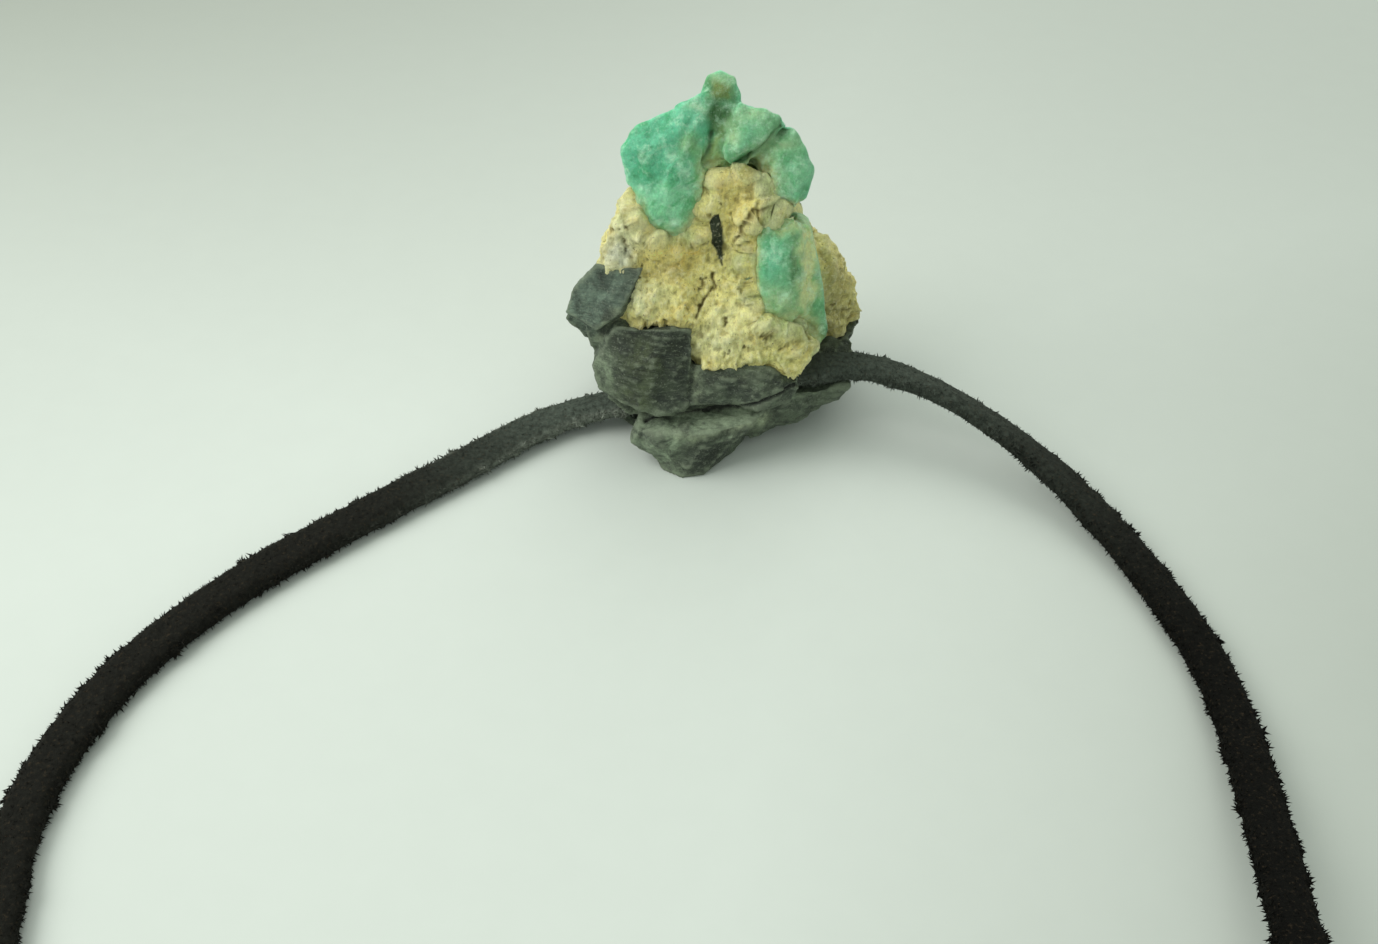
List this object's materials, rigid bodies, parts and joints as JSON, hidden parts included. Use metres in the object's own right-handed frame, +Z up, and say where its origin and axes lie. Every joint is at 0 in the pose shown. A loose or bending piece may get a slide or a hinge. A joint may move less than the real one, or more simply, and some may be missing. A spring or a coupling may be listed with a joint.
{
  "type": "raw emerald in matrix on a suede lace",
  "caption": "Rough green emerald crystals in cream feldspar on a dark schist foot, with a flat suede lace through the rock to wear it by.",
  "frame": {"origin": "middle of the stone's own footprint box, on the surface that it stands on, lace not counted", "axes": "+Z up, +X to the right of the front face, +Y away from the front face"},
  "size_m": [0.0853, 0.1051, 0.03],
  "materials": {
    "emerald": "rough crystal with flat faces, slightly translucent",
    "feldspar": "matt, granular and pitted",
    "schist": "matt, broken faces with fine grain",
    "suede": "napped suede with fuzzy cut edges",
    "thread": "waxed thread"
  },
  "bodies": {
    "root": {"emerald_cluster": "emerald", "emerald_prism": "emerald", "feldspar_matrix": "feldspar", "schist_base": "schist", "lace_right": "suede", "lace_left": "suede", "lace_coil": "suede", "lace_knot": "suede", "coil_tie": "thread"}
  },
  "joints": []
}
